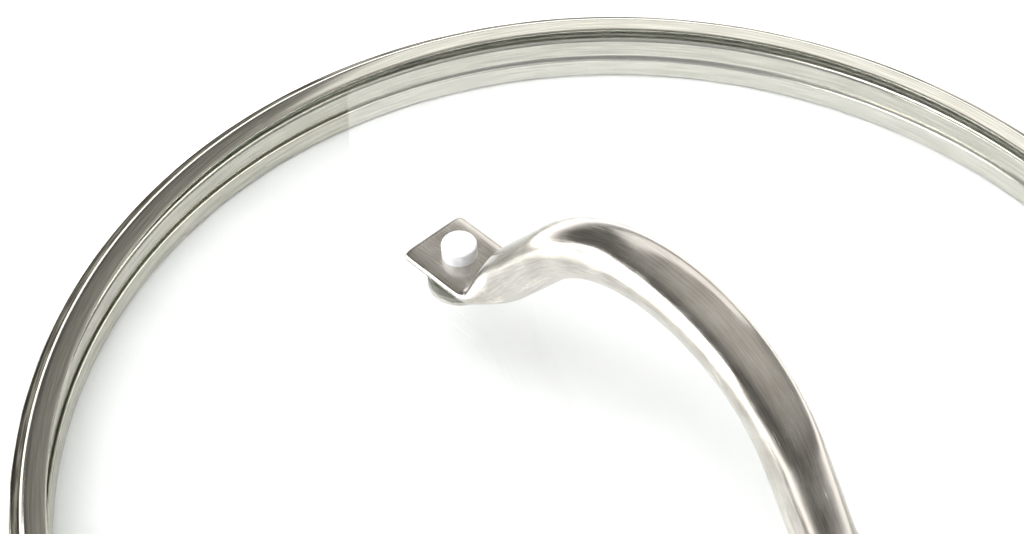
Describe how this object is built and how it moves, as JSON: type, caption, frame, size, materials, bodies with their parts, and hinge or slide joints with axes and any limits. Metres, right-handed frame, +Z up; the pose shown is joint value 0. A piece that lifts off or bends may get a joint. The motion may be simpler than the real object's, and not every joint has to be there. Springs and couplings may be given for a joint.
{
  "type": "glass saucepan lid",
  "caption": "Round domed glass pan lid in a rolled steel ring, with an arched flat-ended tube handle riveted through the glass.",
  "frame": {"origin": "on the lid's vertical axis, level with the lower edge of the skirt", "axes": "+Z up through the middle of the glass, X along the handle from rivet to rivet"},
  "size_m": [0.208, 0.208, 0.0632],
  "materials": {
    "glass": "clear polished",
    "ring_steel": "polished",
    "handle_steel": "satin polished",
    "rivet_aluminium": "satin",
    "washer_steel": "satin",
    "clear_silicone": "translucent"
  },
  "bodies": {
    "root": {"glass_dome": "glass", "rim_ring": "ring_steel", "rim_seal": "clear_silicone", "handle_bar": "handle_steel", "left_bush": "clear_silicone", "left_gasket": "clear_silicone", "left_washer": "washer_steel", "left_rivet": "rivet_aluminium", "right_bush": "clear_silicone", "right_gasket": "clear_silicone", "right_washer": "washer_steel", "right_rivet": "rivet_aluminium"}
  },
  "joints": []
}
